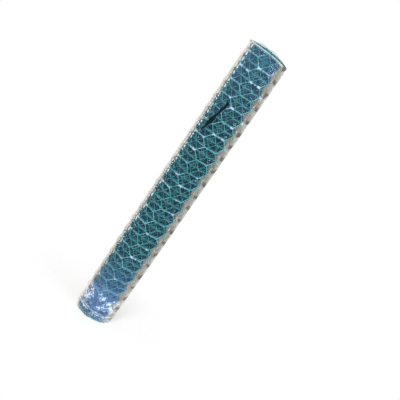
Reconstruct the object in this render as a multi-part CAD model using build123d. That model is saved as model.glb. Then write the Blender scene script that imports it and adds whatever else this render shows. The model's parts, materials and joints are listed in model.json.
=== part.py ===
from build123d import *
import math
import os

# A roll of hexagonal wire netting, wound tight and held by a clear shrink film.
# Millimetres. The roll stands on end: +Z along its axis, origin at the middle of
# the lower end. The netting is one body: a bored drum with a flat wherever the
# stiff netting stays straight, the openings of its last turn cut in its side,
# and a spiral slit that shows its turns on both ends.

# Netting
netting_width = 600.0     # from selvedge to selvedge, the height of the standing roll
bore_radius = 13.0        # hollow that the first turn is wound round
turn_pitch = 1.84         # radial room of each turn that shows on the ends
turn_count = 15           # turns that show on the ends
turn_gap = 0.6            # open slit between the selvedges of two turns
turn_gap_depth = 2.2      # how far down the slit shows at each end
bends_per_turn = 12       # the slit runs straight between them

# Mesh of the last turn
mesh_rows = 21.5          # hexagons from selvedge to selvedge
twist_length = 22.6       # two wires twisted together, straight, round the roll
lead_length = 11.2        # round the roll, from one column of twists to the next
strand_width = 2.2        # of the ribs between the openings
strand_height = 0.7       # of the ribs above the turns under them
selvedge_inset = 2.2      # from the roll's end to the middle of the selvedge
front_twist_angle = -138.0    # where a twist of the front column begins

# Ends, where the film draws the outer turns in
rim_chamfer = 1.8         # on the last turn
lip_recess = 1.0          # how far the drawn-in turns sit below the end face
lip_width = 5.6           # how far the film turns in over each end
lip_clearance = 0.6       # between the film's edge and the turns that stand proud

# Clear shrink film
film_thickness = 0.4
film_clearance = 0.3      # between the film and the netting under it

roll_radius = bore_radius + turn_count * turn_pitch
foot_radius = roll_radius - lip_width - lip_clearance
row_step = (netting_width - 2 * selvedge_inset) / mesh_rows
twist_angle = math.degrees(2 * math.asin(twist_length / 2 / roll_radius))
lead_angle = math.degrees(2 * math.asin(lead_length / 2 / roll_radius))
column_angle = twist_angle + lead_angle
column_count = int((360 - lead_angle) / column_angle)
first_column = -(column_count // 2)     # counted from the front column
mid_height = Plane.XY.offset(netting_width / 2)


def on_circle(radius, angle):
    """Point at an angle in degrees on a circle round the roll's axis."""
    return radius * math.cos(math.radians(angle)), radius * math.sin(math.radians(angle))


def turn_outline(inset):
    """Outline of the last turn, which bends only where its twists begin and end."""
    bends = [front_twist_angle + first_column * column_angle - lead_angle]
    for _ in range(column_count):
        bends += [bends[-1] + lead_angle, bends[-1] + column_angle]
    bends.append(bends[-1] + lead_angle)
    outline = make_face(Polyline(*(on_circle(roll_radius, angle) for angle in bends), close=True))
    return offset(outline, amount=-inset, kind=Kind.INTERSECTION) if inset else outline


def round_bar(radius):
    """Cylinder as long as the roll, standing on the origin."""
    return Cylinder(radius, netting_width, align=(Align.CENTER, Align.CENTER, Align.MIN))


def drum():
    """Bored drum with flats, its drawn-in outer turns a little lower than the inner ones."""
    rim = extrude(turn_outline(0), netting_width - 2 * lip_recess)
    rim = chamfer(rim.faces().filter_by(Axis.Z).edges(), rim_chamfer)
    return Pos(0, 0, lip_recess) * rim + round_bar(foot_radius) - round_bar(bore_radius)


def turn_slit():
    """Spiral slit between the turns on the lower end, straight from bend to bend."""
    inner_edge, outer_edge = [], []
    for bend in range((turn_count - 2) * bends_per_turn + 1):
        angle = 360 / bends_per_turn * bend
        radius = bore_radius + turn_pitch * (1 + bend / bends_per_turn)
        inner_edge.append(on_circle(radius - turn_gap / 2, angle))
        outer_edge.append(on_circle(radius + turn_gap / 2, angle))
    slit = make_face(Polyline(*inner_edge, *reversed(outer_edge), close=True))
    return extrude(slit, turn_gap_depth)


def opening(low_row, high_row):
    """Hexagonal opening between two twists, or the half of one that ends at a selvedge."""
    half_twist = twist_length / 2
    tip = half_twist + lead_length * math.cos(math.radians(column_angle / 2))
    middle_row = low_row + 0.5
    corners = [(-half_twist, low_row), (half_twist, low_row), (tip, middle_row)]
    if high_row > middle_row:
        corners += [(half_twist, high_row), (-half_twist, high_row)]
    corners.append((-tip, middle_row))
    outline = make_face(Polyline(*((x, row * row_step) for x, row in corners), close=True))
    return offset(outline, amount=-strand_width / 2, kind=Kind.INTERSECTION)


def column_of_openings():
    """Openings between the twists of the front column, down to the turn under them."""
    whole_rows = int(mesh_rows)
    openings = Sketch() + [opening(row, row + 1) for row in range(whole_rows)]
    openings += opening(whole_rows, mesh_rows)
    outward = Plane(origin=(0, 0, selvedge_inset), x_dir=(0, 1, 0), z_dir=(1, 0, 0))
    prisms = extrude(outward * openings, roll_radius + strand_width)
    prisms = Rot(0, 0, front_twist_angle + twist_angle / 2) * prisms
    return prisms - extrude(turn_outline(strand_height), netting_width)


def netting_body():
    """Wound netting. Each column of openings is the one before it turned end for end."""
    slit = turn_slit()
    even_column = column_of_openings()
    odd_column = mirror(even_column, mid_height)
    columns = [
        Rot(0, 0, column * column_angle) * (odd_column if column % 2 else even_column)
        for column in range(first_column, first_column + column_count)
    ]
    return drum() - slit - mirror(slit, mid_height) - columns


def half_wall(clearance, lip_edge):
    """Outline at a distance from the last turn, from a lip's edge up to mid height."""
    radius = roll_radius + clearance
    inset = lip_recess - clearance
    leg = rim_chamfer + (2 - math.sqrt(2)) * clearance     # keeps the chamfers parallel
    middle = netting_width / 2
    return [(lip_edge, inset), (radius - leg, inset), (radius, inset + leg), (radius, middle)]


def film_sleeve():
    """Shrink film: a thin sleeve drawn over the rims and turned in at both ends."""
    lip_edge = roll_radius - lip_width
    inner_wall = half_wall(film_clearance, lip_edge)
    outer_wall = half_wall(film_clearance + film_thickness, lip_edge)
    outline = make_face(Polyline(*inner_wall, *reversed(outer_wall), close=True))
    lower = revolve(Plane.XZ * outline, Axis.Z)
    return lower + mirror(lower, mid_height)


os.makedirs("parts", exist_ok=True)
export_step(netting_body(), "parts/netting_roll.step")
export_step(film_sleeve(), "parts/shrink_film.step")
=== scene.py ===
import json
import math

import bmesh
import bpy
import numpy as np
from mathutils import Matrix, Vector


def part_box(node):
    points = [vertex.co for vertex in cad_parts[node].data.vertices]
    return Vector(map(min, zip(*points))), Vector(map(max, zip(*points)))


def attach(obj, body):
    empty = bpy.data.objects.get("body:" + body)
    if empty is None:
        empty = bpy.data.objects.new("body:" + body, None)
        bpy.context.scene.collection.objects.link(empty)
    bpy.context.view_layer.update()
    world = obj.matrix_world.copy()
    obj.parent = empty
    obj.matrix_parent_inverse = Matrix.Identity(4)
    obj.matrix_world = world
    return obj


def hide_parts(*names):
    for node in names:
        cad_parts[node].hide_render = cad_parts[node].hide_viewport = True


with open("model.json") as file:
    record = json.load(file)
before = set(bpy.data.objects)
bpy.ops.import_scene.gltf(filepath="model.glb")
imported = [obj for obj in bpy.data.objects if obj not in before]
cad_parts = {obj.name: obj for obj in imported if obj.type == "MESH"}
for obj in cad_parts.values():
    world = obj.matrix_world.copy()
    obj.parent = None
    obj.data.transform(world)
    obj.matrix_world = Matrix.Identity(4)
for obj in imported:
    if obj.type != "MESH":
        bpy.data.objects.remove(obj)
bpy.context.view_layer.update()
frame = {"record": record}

# The roll, in metres, from the frame
roll_low, roll_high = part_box("netting_roll")
film_low, film_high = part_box("shrink_film")
LENGTH = roll_high[2]
FILM_RADIUS = film_high[0]
ROLL_RADIUS = FILM_RADIUS - 0.0001      # the film draws the last turn in from here
BORE_RADIUS = next(
    mount["dims"]["r_mm"] for mount in frame["record"]["mounts"] if mount["name"] == "core_bore"
) / 1000

# Hexagonal netting. u runs along the netting, v across it, w through it.
WIRE_RADIUS = 0.00060      # coated wire
TWIST_LENGTH = 0.0226      # two wires wound round each other
LEAD_LENGTH = 0.0112       # what a slanting wire covers along u
COLUMN_STEP = TWIST_LENGTH + LEAD_LENGTH
MESH_ROWS = 21.5           # rows of hexagons from selvedge to selvedge
EDGE_ROOM = 0.0022         # from the roll's end to the middle of the selvedge
ROW_STEP = (LENGTH - 2 * EDGE_ROOM) / MESH_ROWS
SLANT = math.atan2(ROW_STEP / 2, LEAD_LENGTH)
PAIR_RADIUS = 1.06 * WIRE_RADIUS      # of the helix that each of two twisted wires follows
WRAP_RADIUS = 2.10 * WIRE_RADIUS      # of the helix of a wire wrapped round the selvedge wire

# Winding, from the bore out: core turns, tight turns, a turn that springs out, and the last turns
FIRST_RADIUS = BORE_RADIUS + 0.0008
CORE_RADIUS = ROLL_RADIUS - 0.0111
TIGHT_RADIUS = ROLL_RADIUS - 0.0058
SLACK_RADIUS = ROLL_RADIUS - 0.0019
CORE_PITCH = 0.00054
TIGHT_PITCH = 0.0009
SLACK_PITCH = 0.0042
LAST_PITCH = 0.0013
OUTER_COLUMNS = 10         # more than one whole turn, seen closest
MIDDLE_COLUMNS = 28        # four turns, seen through the outer one
FRONT_PLACE = 4            # columns from the netting's end back to the one at FRONT_ANGLE
FRONT_ANGLE = math.radians(-90 - 48)

# Unevenness of the winding
ALONG_WAVER = 0.0011       # of the mesh along the netting
ACROSS_WAVER = 0.0008      # of the mesh across the netting
LIFT_WAVER = 0.0003        # of the last turns, outwards
CORE_STRAY = 0.012         # how far the core turns wander along the roll
RIM_DRAW = 0.0022          # how far the film draws the last turns in at the ends
RIM_DRAW_REACH = 0.007

# Radius added to the last turns at some heights. Set against the outline in the
# photograph, as is the droop of the upper end: the fitted camera leaves both over.
SWELL_HEIGHTS = (0, 0.06, 0.17, 0.45)
SWELL = (-0.0010, -0.0007, 0.0002, 0.0008)
DROOP = 0.0095             # on the right of the upper end
DROOP_ANGLE = -8
DROOP_RISE = 0.0015        # opposite, at the back
DROOP_REACH = 0.045        # the droop fades over this height

# Shrink film
FILM_AROUND = 280          # faces of its mesh
FILM_UP = 322
SHOULDER = 0.0045
SIDE_HEIGHT = LENGTH - 2 * SHOULDER
LIP_WIDTH = 0.0056
LIP_HEIGHT = 0.0005
FILM_REST = 0.00018        # film above the wires that carry it
FILM_SAG = 0.0055          # deepest that it can sink between them
SHRINK_PASSES = 1500
KNUCKLE_HEIGHTS = (0.00016, 0.00041)   # above the film around: painted glint starts, and is full

# A fold in the film's front, painted as near-black shadow: x and z of its ends
FOLD_TOP = (-0.0078, 0.4945)
FOLD_LOW = (-0.0240, 0.4190)
FOLD_HALF_WIDTH = 0.0050


def winding_tables():
    """Length wound, angle and radius of the netting, from its first turn to its last."""
    radius = np.linspace(FIRST_RADIUS, ROLL_RADIUS, 6000)
    pitch = np.interp(
        radius,
        (CORE_RADIUS, CORE_RADIUS + 0.001, TIGHT_RADIUS, TIGHT_RADIUS + 0.001, SLACK_RADIUS,
         SLACK_RADIUS + 0.0005),
        (CORE_PITCH, TIGHT_PITCH, TIGHT_PITCH, SLACK_PITCH, SLACK_PITCH, LAST_PITCH),
    )
    turn = np.concatenate(([0], np.cumsum(np.diff(radius) / pitch[1:]))) * 2 * math.pi
    middle_radius = (radius[1:] + radius[:-1]) / 2
    length = np.concatenate(([0], np.cumsum(np.diff(turn) * middle_radius)))
    return length, turn, radius


WOUND_LENGTH, WOUND_ANGLE, WOUND_RADIUS = winding_tables()
COLUMNS = int(WOUND_LENGTH[-1] / (2 * COLUMN_STEP)) * 2
FRONT_LENGTH = (COLUMNS - FRONT_PLACE) * COLUMN_STEP
ANGLE_SHIFT = FRONT_ANGLE - float(np.interp(FRONT_LENGTH, WOUND_LENGTH, WOUND_ANGLE))


def waver(u, v, size, seed):
    """Smooth unevenness between about -1 and 1, with bumps of about the given size."""
    total = 0
    for k in range(4):
        turn = seed * 1.7 + k * 2.4
        total = total + np.sin(
            (u * math.cos(turn) + v * math.sin(turn)) * (5.1 + k) / size + seed * 3.1 + k * 1.9
        )
    return total / 2.6


def verts_of(geom):
    return [part for part in geom if isinstance(part, bmesh.types.BMVert)]


def edges_of(geom):
    return [part for part in geom if isinstance(part, bmesh.types.BMEdge)]


def wire_section(bm, sides):
    """A wire's section at the origin, across u, as wide on average as the round wire."""
    radius = WIRE_RADIUS * math.pi / (sides * math.sin(math.pi / sides))
    section = bmesh.ops.create_circle(bm, cap_ends=False, radius=radius, segments=sides)["verts"]
    bmesh.ops.rotate(bm, verts=section, cent=(0, 0, 0), matrix=Matrix.Rotation(math.pi / 2, 3, "Y"))
    return section


def extend_ring(bm, edges, old_centre, new_centre, turn):
    """Carry an open end of wire to a new place and turn its section about w."""
    grown = bmesh.ops.extrude_edge_only(bm, edges=edges)["geom"]
    ring = verts_of(grown)
    bmesh.ops.translate(bm, verts=ring, vec=new_centre - old_centre)
    bmesh.ops.rotate(bm, verts=ring, cent=new_centre, matrix=Matrix.Rotation(turn, 3, "Z"))
    return edges_of(grown)


def lead_out(bm, edges, u_end, v_end, side, along):
    """Carry a wire from a twist's end to the middle of the slanting run beside it.

    side is the way across the netting, along the way along it, each +1 or -1.
    """
    turn = side * along * SLANT / 2
    twist_end = Vector((u_end, v_end, 0))
    knee = twist_end + Vector((along * 0.0011, side * 0.0007, 0))
    halfway = Vector((u_end + along * LEAD_LENGTH / 2, side * ROW_STEP / 4, 0))
    edges = extend_ring(bm, edges, twist_end, knee, turn)
    extend_ring(bm, edges, knee, halfway, turn)


def wire_through_twist(bm, sides, steps, radius, side, half_turns):
    """One wire of a twist: in on a slant from one side, round the axis, and out on a slant."""
    ring = wire_section(bm, sides)
    bmesh.ops.translate(bm, verts=ring, vec=(0, side * radius, 0))
    start = list({edge for vert in ring for edge in vert.link_edges})
    end = bmesh.ops.spin(
        bm, geom=ring + start, cent=(0, 0, 0), axis=(1, 0, 0), angle=math.pi * half_turns,
        dvec=(TWIST_LENGTH / steps, 0, 0), steps=steps, use_duplicate=False,
    )["geom_last"]
    out_side = side if half_turns % 2 == 0 else -side
    lead_out(bm, start, 0, side * radius, side, -1)
    lead_out(bm, edges_of(end), TWIST_LENGTH, out_side * radius, out_side, 1)


def repeat(bm, geom, count, step):
    """Copies of some geometry, each a step further on than the last."""
    for place in range(1, count):
        copy = bmesh.ops.duplicate(bm, geom=geom)["geom"]
        bmesh.ops.translate(bm, verts=verts_of(copy), vec=Vector(step) * place)


def twist_column(sides, steps, first_row, rows, wrap_row, wrap_side):
    """A column of twists across the netting, with its one wire wrapped round a selvedge."""
    bm = bmesh.new()
    for side in (1, -1):
        wire_through_twist(bm, sides, steps, PAIR_RADIUS, side, 3)
    tile = bm.verts[:] + bm.edges[:] + bm.faces[:]
    bmesh.ops.translate(bm, verts=verts_of(tile), vec=(0, first_row * ROW_STEP, 0))
    repeat(bm, tile, rows, (0, ROW_STEP, 0))
    known = set(bm.verts)
    wire_through_twist(bm, sides, steps, WRAP_RADIUS, wrap_side, 4)
    wrap = [vert for vert in bm.verts if vert not in known]
    bmesh.ops.translate(bm, verts=wrap, vec=(0, wrap_row * ROW_STEP, 0))
    mesh = bpy.data.meshes.new("twist_column")
    bm.to_mesh(mesh)
    bm.free()
    return mesh


def flat_netting(first_column, columns, sides, steps):
    """Flat netting of staggered columns of twists, its wires joined and their cut ends closed."""
    bm = bmesh.new()
    whole_rows = int(MESH_ROWS)
    layouts = ((1, 0, 1, 0), (0.5, MESH_ROWS, -1, COLUMN_STEP))
    for first_row, wrap_row, wrap_side, shift in layouts:
        column = twist_column(sides, steps, first_row, whole_rows, wrap_row, wrap_side)
        column.transform(Matrix.Translation((shift, 0, 0)))
        bm.from_mesh(column)
        bpy.data.meshes.remove(column)
    pair = bm.verts[:] + bm.edges[:] + bm.faces[:]
    repeat(bm, pair, columns // 2, (2 * COLUMN_STEP, 0, 0))
    bmesh.ops.translate(bm, verts=bm.verts, vec=(first_column * COLUMN_STEP, 0, 0))
    bmesh.ops.remove_doubles(bm, verts=bm.verts, dist=WIRE_RADIUS / 20)
    bmesh.ops.holes_fill(bm, edges=bm.edges, sides=sides)
    bmesh.ops.recalc_face_normals(bm, faces=bm.faces)
    return bm


def flat_selvedge(v, sides, spacing):
    """The straight wire along one edge of the netting."""
    bm = bmesh.new()
    ring = wire_section(bm, sides)
    bmesh.ops.translate(bm, verts=ring, vec=(-LEAD_LENGTH / 2, v, 0))
    steps = round(COLUMN_STEP / spacing)
    bmesh.ops.spin(
        bm, geom=bm.verts[:] + bm.edges[:], cent=(0, 0, 0), axis=(1, 0, 0), angle=0,
        dvec=(COLUMN_STEP / steps, 0, 0), steps=steps, use_duplicate=False,
    )
    repeat(bm, bm.verts[:] + bm.edges[:] + bm.faces[:], COLUMNS, (COLUMN_STEP, 0, 0))
    bmesh.ops.remove_doubles(bm, verts=bm.verts, dist=WIRE_RADIUS / 20)
    bmesh.ops.holes_fill(bm, edges=bm.edges, sides=sides)
    bmesh.ops.recalc_face_normals(bm, faces=bm.faces)
    return bm


def wind(bm):
    """Wind flat netting into the roll, its wires straight between their bends."""
    flat = np.array([vert.co[:] for vert in bm.verts])
    u, v, w = flat.T
    radius = np.interp(u, WOUND_LENGTH, WOUND_RADIUS)
    along = np.mod(u, COLUMN_STEP)
    in_twist = along < TWIST_LENGTH
    span = np.where(in_twist, TWIST_LENGTH, LEAD_LENGTH)
    along = np.where(in_twist, along, along - TWIST_LENGTH)
    sag = along * (span - along) / (2 * radius)
    from_end = np.minimum(v, MESH_ROWS * ROW_STEP - v)
    outward = (radius - BORE_RADIUS) / (ROLL_RADIUS - BORE_RADIUS)
    stray = CORE_STRAY * np.clip((CORE_RADIUS + 0.001 - radius) / 0.003, 0, 1)
    u = u + ALONG_WAVER * waver(u, v, 0.05, 1)
    wander = ACROSS_WAVER * waver(u, v, 0.06, 2) + stray * waver(u, v, 0.16, 5)
    v = v + wander * np.clip(from_end / 0.05, 0, 1)
    lift = LIFT_WAVER * outward**4 * (waver(u, v, 0.04, 3) - 0.5)
    drawn_in = RIM_DRAW * outward**3 * np.exp(-((from_end / RIM_DRAW_REACH) ** 2))
    swell = outward**3 * np.interp(v, SWELL_HEIGHTS, SWELL)
    r = radius + w - sag + lift - drawn_in + swell
    angle = np.interp(u, WOUND_LENGTH, WOUND_ANGLE) + ANGLE_SHIFT
    wound = np.stack((r * np.cos(angle), r * np.sin(angle), EDGE_ROOM + v), axis=1)
    for vert, place in zip(bm.verts, wound):
        vert.co = place
    return bm


def hump(angle, middle, width):
    """Smooth hump round the roll, 1 at its middle. Middle and width are in degrees."""
    away = np.angle(np.exp(1j * (angle - math.radians(middle))))
    return np.exp(-((away / math.radians(width)) ** 2))


def droop(mesh):
    """Let the last turns hang lower on one side of the upper end, and stand higher behind."""
    places = np.empty(len(mesh.vertices) * 3)
    mesh.vertices.foreach_get("co", places)
    x, y, z = places.reshape(-1, 3).T
    angle = np.arctan2(y, x)
    drop = DROOP * hump(angle, DROOP_ANGLE, 50) - DROOP_RISE * hump(angle, 100, 45)
    places[2::3] -= drop * (np.hypot(x, y) / ROLL_RADIUS) ** 2 * np.exp((z - LENGTH) / DROOP_REACH)
    mesh.vertices.foreach_set("co", places)
    mesh.update()


def as_piece(bm, name, material):
    """Finish a mesh as one smooth-shaded piece of the object."""
    mesh = bpy.data.meshes.new(name)
    bm.to_mesh(mesh)
    bm.free()
    mesh.materials.append(material)
    mesh.polygons.foreach_set("use_smooth", [True] * len(mesh.polygons))
    piece = bpy.data.objects.new(name, mesh)
    bpy.context.scene.collection.objects.link(piece)
    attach(piece, "root")
    return piece


def film_row(z):
    """Row of the film's grid that a height falls in, which may be past its ends."""
    return np.rint((z - SHOULDER) / SIDE_HEIGHT * (FILM_UP - 1)).astype(int)


def rest_of_film(carriers):
    """Lowest radius of the film on a grid of angles and heights, where wires hold it up."""
    rest = np.full((FILM_AROUND, FILM_UP), ROLL_RADIUS - FILM_SAG)
    for carrier in carriers:
        mesh = carrier.data
        points = np.empty(len(mesh.vertices) * 3)
        mesh.vertices.foreach_get("co", points)
        points = points.reshape(-1, 3)
        ends = np.empty(len(mesh.edges) * 2, dtype=np.int32)
        mesh.edges.foreach_get("vertices", ends)
        ends = ends.reshape(-1, 2)
        for share in np.linspace(0, 1, 9):
            x, y, z = (points[ends[:, 0]] * (1 - share) + points[ends[:, 1]] * share).T
            column = np.rint(np.arctan2(y, x) / (2 * math.pi) * FILM_AROUND).astype(int) % FILM_AROUND
            row = film_row(z)
            held = (row >= 0) & (row < FILM_UP)
            np.maximum.at(rest, (column[held], row[held]), np.hypot(x, y)[held] + FILM_REST)
    return rest


def shrunk_film(rest):
    """Radius of a film pulled tight over what holds it up, found by repeated averaging."""
    across = 1 / (2 * math.pi * ROLL_RADIUS / FILM_AROUND) ** 2
    upward = 1 / (SIDE_HEIGHT / (FILM_UP - 1)) ** 2
    pull = 1 / ROLL_RADIUS / (2 * (across + upward))
    film = np.full(rest.shape, FILM_RADIUS)
    for _ in range(SHRINK_PASSES):
        around = (np.roll(film, 1, 0) + np.roll(film, -1, 0)) / 2
        padded = np.pad(film, ((0, 0), (1, 1)), mode="edge")
        along = (padded[:, 2:] + padded[:, :-2]) / 2
        film = np.maximum(rest, (across * around + upward * along) / (across + upward) - pull)
    return film


def blurred(field, passes):
    """A field of the film's grid, averaged with what is beside it."""
    for _ in range(passes):
        padded = np.pad(field, ((0, 0), (1, 1)), mode="edge")
        field = (np.roll(field, 1, 0) + np.roll(field, -1, 0) + padded[:, 2:] + padded[:, :-2]) / 4
    return field


def film_profile():
    """Radius and height along the film's outline, from the lower lip's edge to the upper one's."""
    flat_radius = FILM_RADIUS - SHOULDER
    lip_edge = FILM_RADIUS - LIP_WIDTH - 0.0005
    lower = [(lip_edge + (flat_radius - lip_edge) * k / 4, LIP_HEIGHT) for k in range(4)]
    for k in range(6):
        turn = math.pi / 2 * k / 6
        lower.append((
            flat_radius + SHOULDER * math.sin(turn), LIP_HEIGHT + SHOULDER * (1 - math.cos(turn))
        ))
    side = [(FILM_RADIUS, SHOULDER + SIDE_HEIGHT * k / (FILM_UP - 1)) for k in range(FILM_UP)]
    upper = [(r, LENGTH - z) for r, z in reversed(lower)]
    return lower + side + upper


def stand_up_lip(r, z, angle):
    """Stretches of the upper lip that stand up and flare instead of turning in."""
    stands = 0.75 * hump(angle, DROOP_ANGLE, 26) + 0.50 * hump(angle, 78, 16) + 0.45 * hump(angle, 116, 14)
    shoulder_start = LENGTH - SHOULDER
    beyond = np.clip(z - shoulder_start, 0, None) + np.clip(FILM_RADIUS - r, 0, None)
    share = np.where(z > shoulder_start, stands, 0)
    return r + share * (FILM_RADIUS + 0.22 * beyond - r), z + share * (shoulder_start + 0.85 * beyond - z)


def film_sleeve(carriers, material):
    """The shrink film as one skin: a sheet rolled into a sleeve and drawn onto the wires."""
    profile = np.array(film_profile())
    bm = bmesh.new()
    bmesh.ops.create_grid(bm, x_segments=FILM_AROUND, y_segments=len(profile) - 1, size=0.5)
    sheet = np.array([vert.co[:] for vert in bm.verts]) + 0.5
    column = np.rint(sheet[:, 0] * FILM_AROUND).astype(int) % FILM_AROUND
    r, z = profile[np.rint(sheet[:, 1] * (len(profile) - 1)).astype(int)].T
    angle = column * 2 * math.pi / FILM_AROUND

    tight = shrunk_film(rest_of_film(carriers))
    whitens, white = KNUCKLE_HEIGHTS
    knuckle = np.clip((tight - blurred(tight, 6) - whitens) / (white - whitens), 0, 1)
    row = film_row(z)
    on_side = (row >= 0) & (row < FILM_UP)
    row = np.clip(row, 0, FILM_UP - 1)
    beside = np.clip((r - FILM_RADIUS + SHOULDER) / SHOULDER, 0, 1)
    r = r + beside * (tight[column, row] - FILM_RADIUS)
    # Painted glint where the film stands over the netting's knuckles, carried on the vertices.
    knuckle_glint_layer = bm.verts.layers.float.new("knuckle_glint")
    lip_layer = bm.verts.layers.float.new("lip")
    knuckle_glint = np.where(on_side, knuckle[column, row], 0)
    lip = np.clip((np.abs(z - LENGTH / 2) - LENGTH / 2 + SHOULDER) / SHOULDER, 0, 1)
    r, z = stand_up_lip(r, z, angle)
    places = zip(r * np.cos(angle), r * np.sin(angle), z)
    for vert, place, pulled, turned_in in zip(bm.verts, places, knuckle_glint, lip):
        vert.co = place
        vert[knuckle_glint_layer] = pulled
        vert[lip_layer] = turned_in
    bmesh.ops.remove_doubles(bm, verts=bm.verts, dist=1e-6)
    bmesh.ops.recalc_face_normals(bm, faces=bm.faces)
    return as_piece(bm, "film_sleeve", material)


class Nodes:
    """Short way of placing and linking the nodes of one material."""

    def __init__(self, name):
        self.material = bpy.data.materials.new(name)
        self.material.use_nodes = True
        self.tree = self.material.node_tree
        self.shader = self.tree.nodes["Principled BSDF"]
        self.where = self.add("ShaderNodeTexCoord").outputs["Object"]

    def add(self, kind, **settings):
        node = self.tree.nodes.new(kind)
        for name, value in settings.items():
            setattr(node, name, value)
        return node

    def link(self, source, target):
        self.tree.links.new(source, target)

    def noise(self, scale, detail=3.0, stretch=(1, 1, 1)):
        mapping = self.add("ShaderNodeMapping")
        mapping.inputs["Scale"].default_value = stretch
        self.link(self.where, mapping.inputs["Vector"])
        noise = self.add("ShaderNodeTexNoise")
        noise.inputs["Scale"].default_value = scale
        noise.inputs["Detail"].default_value = detail
        self.link(mapping.outputs["Vector"], noise.inputs["Vector"])
        return noise.outputs["Fac"]

    def ramp(self, source, *stops):
        """Colours or greys at places from 0 to 1."""
        ramp = self.add("ShaderNodeValToRGB")
        elements = ramp.color_ramp.elements
        while len(elements) < len(stops):
            elements.new(0.5)
        for element, (place, colour) in zip(elements, stops):
            element.position = place
            element.color = (*colour, 1) if hasattr(colour, "__len__") else (colour,) * 3 + (1,)
        self.link(source, ramp.inputs["Fac"])
        return ramp.outputs["Color"]

    def math(self, operation, first, second=0, clamp=False):
        node = self.add("ShaderNodeMath", operation=operation, use_clamp=clamp)
        for socket, value in zip(node.inputs, (first, second)):
            if isinstance(value, (int, float)):
                socket.default_value = value
            else:
                self.link(value, socket)
        return node.outputs["Value"]

    def times(self, first, second):
        return self.math("MULTIPLY", first, second)

    def plus(self, first, second):
        return self.math("ADD", first, second)

    def minus(self, first, second):
        return self.math("SUBTRACT", first, second)

    def saturated(self, first, second):
        """Sum of two shares, no more than 1."""
        return self.math("ADD", first, second, clamp=True)

    def mix(self, share, first, second):
        node = self.add("ShaderNodeMix", data_type="RGBA")
        for socket, value in zip((node.inputs[0], node.inputs[6], node.inputs[7]), (share, first, second)):
            if isinstance(value, (int, float)):
                socket.default_value = value
            elif hasattr(value, "__len__"):
                socket.default_value = (*value, 1)
            else:
                self.link(value, socket)
        return node.outputs[2]

    def stored(self, name):
        """A value kept on the mesh's vertices."""
        return self.add("ShaderNodeAttribute", attribute_name=name).outputs["Fac"]

    def from_axis(self):
        """Distance from the roll's axis."""
        flat = self.add("ShaderNodeMapping")
        flat.inputs["Scale"].default_value = (1, 1, 0)
        self.link(self.where, flat.inputs["Vector"])
        length = self.add("ShaderNodeVectorMath", operation="LENGTH")
        self.link(flat.outputs["Vector"], length.inputs[0])
        return length.outputs["Value"]

    def separate(self, vector):
        node = self.add("ShaderNodeSeparateXYZ")
        self.link(vector, node.inputs["Vector"])
        return node.outputs

    def bump(self, height, strength, distance):
        node = self.add("ShaderNodeBump")
        node.inputs["Strength"].default_value = strength
        node.inputs["Distance"].default_value = distance
        self.link(height, node.inputs["Height"])
        self.link(node.outputs["Normal"], self.shader.inputs["Normal"])


def coated_wire():
    """Green plastic coat on wire, with painted shade darkening the turns deeper in, apart from their ends.
    """
    nodes = Nodes("green_wire_coat")
    blotches = nodes.ramp(
        nodes.noise(90), (0.32, (0.04, 0.28, 0.22)), (0.54, (0.13, 0.47, 0.48)), (0.78, (0.30, 0.66, 0.72))
    )
    height_share = nodes.times(nodes.separate(nodes.where)[2], 1 / LENGTH)
    swell_range = SWELL[-1] - SWELL[0]
    swell_stops = [
        (height / LENGTH, (swell - SWELL[0]) / swell_range) for height, swell in zip(SWELL_HEIGHTS, SWELL)
    ]
    swell = nodes.times(nodes.ramp(height_share, *swell_stops), swell_range)
    from_core = nodes.minus(nodes.minus(nodes.from_axis(), swell), ROLL_RADIUS + SWELL[0] - 0.0126)
    outer = nodes.times(from_core, 1 / 0.012)
    # Painted shade: the coat darkens to the dark colour below on turns nearer the axis, ends excepted.
    depth_shade = nodes.ramp(outer, (0.0, 0.05), (0.3, 0.28), (0.55, 0.46), (0.80, 0.52), (0.92, 0.66), (1.0, 1.0))
    ends = nodes.ramp(height_share, (0.004, 0.7), (0.010, 0.0), (0.988, 0.0), (0.995, 0.7))
    tone = nodes.mix(nodes.math("MAXIMUM", depth_shade, ends), (0.004, 0.085, 0.090), blotches)
    nodes.link(tone, nodes.shader.inputs["Base Color"])
    nodes.link(nodes.ramp(nodes.noise(400), (0.3, 0.28), (0.8, 0.5)), nodes.shader.inputs["Roughness"])
    nodes.shader.inputs["Specular IOR Level"].default_value = 0.12
    nodes.bump(nodes.noise(1500, 2), 0.3, 0.0001)
    return nodes.material


def overlap_of_film(nodes, x, z, pillows):
    """Where the film overlaps itself down the right side, in one lump a row, with painted shade low on
    each.

    Gives the overlap, its extra milkiness and the painted shade.
    """
    uneven = nodes.times(nodes.minus(nodes.noise(70, 2), 0.5), 0.6)
    rows = nodes.plus(nodes.plus(nodes.times(z, 1 / ROW_STEP), 0.87 - EDGE_ROOM / ROW_STEP), uneven)
    scallop = nodes.math("COSINE", nodes.times(nodes.minus(rows, 0.42), 2 * math.pi))
    aside = nodes.plus(nodes.times(x, 1 / FILM_RADIUS), nodes.times(scallop, 0.055))
    overlap = nodes.ramp(aside, (0.62, 0.0), (0.70, 1.0))
    milky = nodes.times(overlap, nodes.plus(nodes.times(pillows, 0.28), 0.12))
    in_row = nodes.math("FRACT", rows)
    # Painted shade low on each lump, furthest to the right.
    corner_shade = nodes.ramp(in_row, (0.0, 1.0), (0.20, 0.9), (0.38, 0.0), (0.92, 0.0), (0.99, 1.0))
    corner_shade = nodes.times(corner_shade, nodes.ramp(aside, (0.76, 0.0), (0.84, 1.0)))
    return overlap, milky, corner_shade


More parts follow.
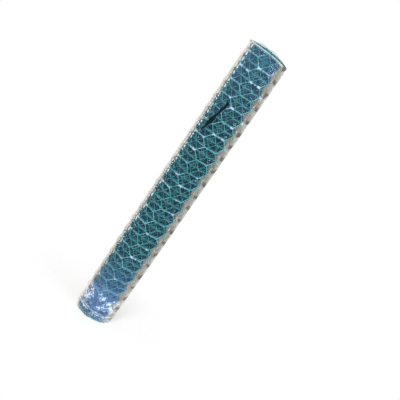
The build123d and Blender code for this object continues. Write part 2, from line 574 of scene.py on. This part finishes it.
def painted_fold_shadow(nodes, x, y, z):
    """A ragged, deep fold on the front, as painted shadow."""
    run, rise = FOLD_LOW[0] - FOLD_TOP[0], FOLD_LOW[1] - FOLD_TOP[1]
    span = math.hypot(run, rise)
    dx = nodes.minus(x, FOLD_TOP[0])
    dz = nodes.minus(z, FOLD_TOP[1])
    along = nodes.plus(nodes.times(dx, run / span**2), nodes.times(dz, rise / span**2))
    across = nodes.minus(nodes.times(dx, rise / span), nodes.times(dz, run / span))
    ragged = nodes.times(nodes.minus(nodes.noise(140, 2), 0.5), 0.005)
    beside = nodes.times(nodes.math("ABSOLUTE", nodes.plus(across, ragged)), 1 / FOLD_HALF_WIDTH)
    width = nodes.ramp(along, (0.0, 0.0), (0.06, 0.75), (0.35, 0.55), (0.62, 1.0), (0.85, 0.55), (1.0, 0.0))
    fold_shadow = nodes.ramp(nodes.minus(width, beside), (0.0, 0.0), (0.15, 1.0))
    return nodes.times(fold_shadow, nodes.math("LESS_THAN", y, 0.0))


def foot_glare_and_shade(nodes, height_share):
    """Painted glare in patches and rings on the film's lower end, and painted shade between the patches."""
    grain = nodes.times(nodes.noise(300, 3), 0.5)
    patches = nodes.plus(nodes.times(nodes.noise(60, 3), 0.5), grain)
    streaks = nodes.plus(nodes.times(nodes.noise(22, 3, (1, 1, 16)), 0.6), nodes.times(grain, 0.8))
    glare_band = nodes.ramp(
        height_share, (0.035, 0.0), (0.055, 1.0), (0.094, 0.9), (0.10, 0.35), (0.15, 0.1), (0.20, 0.0)
    )
    hoop_band = nodes.ramp(height_share, (0.030, 1.0), (0.05, 0.0))
    shade_band = nodes.ramp(height_share, (0.085, 1.0), (0.10, 0.0))
    glare = nodes.times(glare_band, nodes.ramp(patches, (0.50, 0.0), (0.60, 1.0)))
    hoop_reflections = nodes.times(hoop_band, nodes.ramp(streaks, (0.49, 0.0), (0.60, 1.0)))
    patch_shade = nodes.times(shade_band, nodes.ramp(patches, (0.40, 1.0), (0.47, 0.0)))
    return nodes.saturated(glare, hoop_reflections), patch_shade


def knuckle_glints(nodes, height_share, overlap):
    """Painted glints on the film over knuckles of the netting, in places, and fewer where it overlaps."""
    higher = nodes.plus(nodes.noise(45, 2), nodes.times(height_share, 0.12))
    knuckle_glint = nodes.times(nodes.stored("knuckle_glint"), nodes.ramp(higher, (0.56, 0.0), (0.66, 1.0)))
    covered = nodes.times(overlap, nodes.ramp(height_share, (0.60, 1.0), (0.80, 0.0)))
    return nodes.times(knuckle_glint, nodes.minus(1.0, covered))


def clear_film():
    """Clear shrink film: nearly unseen face on, milky at a slant, with painted reflections, glints and
    shade.
    """
    nodes = Nodes("clear_film")
    shader = nodes.shader
    facing = nodes.add("ShaderNodeLayerWeight")
    facing.inputs["Blend"].default_value = 0.5
    slant = facing.outputs["Facing"]
    x, y, z = nodes.separate(nodes.where)
    height_share = nodes.times(z, 1 / LENGTH)
    creases = nodes.noise(160, 6, (1, 1, 0.55))
    fine = nodes.noise(420, 4, (1, 1, 0.7))
    # Painted sheen along thin crease lines.
    crease_sheen = nodes.ramp(nodes.math("ABSOLUTE", nodes.minus(creases, 0.5)), (0.0, 1.0), (0.035, 0.0))
    pillows = nodes.ramp(nodes.noise(38, 2), (0.40, 0.0), (0.62, 1.0))
    # Painted glare: more of the film's blue shows near both ends, most near the foot.
    blue_glare_ends = nodes.ramp(
        height_share, (0.0, 0.08), (0.04, 0.18), (0.056, 0.34), (0.094, 0.32), (0.102, 0.17), (0.15, 0.11),
        (0.26, 0.0), (0.74, 0.0), (0.88, 0.03), (0.97, 0.07),
    )
    lip = nodes.stored("lip")
    # Painted reflection: a pale beige strip down the left side, fixed on the object.
    left_edge_reflection = nodes.ramp(nodes.times(x, -1 / FILM_RADIUS), (0.78, 0.0), (0.96, 1.0))
    overlap, milky, corner_shade = overlap_of_film(nodes, x, z, pillows)
    fold_shadow = painted_fold_shadow(nodes, x, y, z)
    foot_glare, foot_shade = foot_glare_and_shade(nodes, height_share)
    # Painted glints and glare, pale blue-white in the colours below.
    white = nodes.saturated(foot_glare, knuckle_glints(nodes, height_share, overlap))

    # How much the film hides what is behind it: it rises at a slant and under each painted mark.
    veils = (
        (crease_sheen, 0.08), (blue_glare_ends, 1), (lip, 0.62), (milky, 1), (left_edge_reflection, 0.30), (corner_shade, 0.8),
        (white, 0.65), (foot_shade, 0.35), (fold_shadow, 1),
    )
    share = nodes.ramp(slant, (0.0, 0.03), (0.35, 0.05), (0.50, 0.16), (0.68, 0.42), (0.85, 0.62))
    for mask, amount in veils:
        share = nodes.saturated(share, nodes.times(mask, amount))

    # Painted reflection: at a slant and on the overlap the film is pale beige, lighter and darker in lumps.
    edgewise = nodes.math("MAXIMUM", nodes.ramp(slant, (0.25, 0.0), (0.55, 1.0)), overlap)
    edge_reflection = nodes.mix(pillows, (0.60, 0.53, 0.40), (0.42, 0.39, 0.34))
    tints = (
        (edgewise, edge_reflection), (left_edge_reflection, (0.84, 0.78, 0.64)), (nodes.times(lip, 0.8), (0.72, 0.72, 0.68)),
        (foot_shade, (0.04, 0.07, 0.12)), (corner_shade, (0.07, 0.06, 0.06)), (white, (0.74, 0.88, 1.0)),
        (fold_shadow, (0.006, 0.014, 0.014)),
    )
    # The film's blue is a painted reflection, deeper towards the lower end.
    upper = nodes.ramp(height_share, (0.10, 0.0), (0.30, 1.0))
    tint = nodes.mix(upper, (0.17, 0.36, 0.88), (0.22, 0.47, 0.90))
    for mask, colour in tints:
        tint = nodes.mix(mask, tint, colour)

    nodes.link(tint, shader.inputs["Base Color"])
    nodes.link(share, shader.inputs["Alpha"])
    shader.inputs["Roughness"].default_value = 0.10
    # Less gloss under the painted shadow and shade.
    dull = nodes.math("MAXIMUM", fold_shadow, nodes.times(corner_shade, 0.9))
    nodes.link(nodes.minus(1.0, dull), shader.inputs["Specular IOR Level"])
    nodes.bump(nodes.plus(creases, nodes.times(fine, 0.35)), 0.7, 0.0012)
    return nodes.material


def floor_and_backdrop():
    """A plain white floor that fades into the white around it, and keeps the roll's shadow."""
    bm = bmesh.new()
    bmesh.ops.create_circle(bm, cap_ends=True, radius=2.5, segments=64)
    mesh = bpy.data.meshes.new("floor")
    bm.to_mesh(mesh)
    bm.free()
    floor = bpy.data.objects.new("floor", mesh)
    bpy.context.scene.collection.objects.link(floor)
    nodes = Nodes("floor_white")
    nodes.shader.inputs["Base Color"].default_value = (0.9, 0.9, 0.9, 1)
    nodes.shader.inputs["Roughness"].default_value = 0.9
    nodes.shader.inputs["Specular IOR Level"].default_value = 0.0
    length = nodes.add("ShaderNodeVectorMath", operation="LENGTH")
    nodes.link(nodes.where, length.inputs[0])
    fade = nodes.ramp(length.outputs["Value"], (0.05, 0.5), (0.20, 0.0))
    nodes.link(fade, nodes.shader.inputs["Alpha"])
    mesh.materials.append(nodes.material)
    world = bpy.data.worlds.new("studio")
    bpy.context.scene.world = world
    world.use_nodes = True
    tree = world.node_tree
    background = tree.nodes["Background"]
    background.inputs["Color"].default_value = (1, 1, 1, 1)
    path = tree.nodes.new("ShaderNodeLightPath")
    seen = tree.nodes.new("ShaderNodeMath")
    seen.operation = "MAXIMUM"
    tree.links.new(path.outputs["Is Camera Ray"], seen.inputs[0])
    tree.links.new(path.outputs["Is Transmission Ray"], seen.inputs[1])
    also = tree.nodes.new("ShaderNodeMath")
    also.operation = "MAXIMUM"
    tree.links.new(seen.outputs["Value"], also.inputs[0])
    tree.links.new(path.outputs["Is Glossy Ray"], also.inputs[1])
    strength = tree.nodes.new("ShaderNodeMapRange")
    strength.inputs["To Min"].default_value = 0.65
    strength.inputs["To Max"].default_value = 1.0
    tree.links.new(also.outputs["Value"], strength.inputs["Value"])
    tree.links.new(strength.outputs["Result"], background.inputs["Strength"])


def lamp(name, place, aim, size, power, colour):
    """A soft square lamp turned towards a point."""
    light = bpy.data.lights.new(name, "AREA")
    light.size = size
    light.energy = power
    light.color = colour
    holder = bpy.data.objects.new(name, light)
    holder.location = place
    holder.rotation_euler = (Vector(aim) - Vector(place)).to_track_quat("-Z", "Y").to_euler()
    bpy.context.scene.collection.objects.link(holder)


def camera():
    """The photograph's view: from a little above the middle, turned so that the roll leans."""
    elevation = math.radians(15.9)
    lean = math.radians(34.28)
    distance = 1.290
    picture_side = 400
    focal = 695.7                       # in the photograph's pixels
    left_of_middle, above_middle = 23.83, 11.0
    data = bpy.data.cameras.new("camera")
    data.sensor_width = 36
    data.lens = focal / picture_side * data.sensor_width
    back = Vector((0, -math.cos(elevation), math.sin(elevation)))
    level_right = Vector((1, 0, 0))
    level_up = back.cross(level_right)
    right = level_right * math.cos(lean) + level_up * math.sin(lean)
    up = level_up * math.cos(lean) - level_right * math.sin(lean)
    middle = Vector((0, 0, LENGTH / 2))
    place = middle + back * distance
    aim = middle + (right * left_of_middle - up * above_middle) * distance / focal
    view_back = (place - aim).normalized()
    view_right = up.cross(view_back).normalized()
    view_up = view_back.cross(view_right)
    turned = Matrix((view_right, view_up, view_back)).transposed().to_4x4()
    holder = bpy.data.objects.new("camera", data)
    holder.matrix_world = Matrix.Translation(place) @ turned
    bpy.context.scene.collection.objects.link(holder)
    bpy.context.scene.camera = holder


def netting_piece(name, first_column, columns, sides, steps, material):
    """Some columns of the netting, wound into place."""
    piece = as_piece(wind(flat_netting(first_column, columns, sides, steps)), name, material)
    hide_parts("netting_roll")
    return piece


def selvedge_piece(name, v, material):
    piece = as_piece(wind(flat_selvedge(v, 6, 0.003)), name, material)
    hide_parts("netting_roll")
    return piece


def build():
    wire = coated_wire()
    first_outer = COLUMNS - OUTER_COLUMNS
    first_middle = first_outer - MIDDLE_COLUMNS
    half = first_middle // 4 * 2
    outer = netting_piece("netting_outer_turn", first_outer, OUTER_COLUMNS, 6, 14, wire)
    middle = netting_piece("netting_middle_turns", first_middle, MIDDLE_COLUMNS, 5, 8, wire)
    inner = netting_piece("netting_inner_turns", half, first_middle - half, 3, 6, wire)
    core = netting_piece("netting_core_turns", 0, half, 3, 6, wire)
    lower = selvedge_piece("selvedge_lower", 0, wire)
    upper = selvedge_piece("selvedge_upper", MESH_ROWS * ROW_STEP, wire)
    film = film_sleeve((outer, middle, lower, upper), clear_film())
    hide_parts("shrink_film")
    for piece in (outer, middle, inner, core, lower, upper, film):
        droop(piece.data)


build()
floor_and_backdrop()
lamp("key", (-0.5, -1.5, 1.3), (0, 0, 0.3), 0.4, 26, (1, 0.98, 0.95))
lamp("fill", (1.3, -0.9, 0.7), (0, 0, 0.3), 0.8, 9, (0.85, 0.93, 1))
camera()
bpy.context.scene.view_settings.view_transform = "Standard"
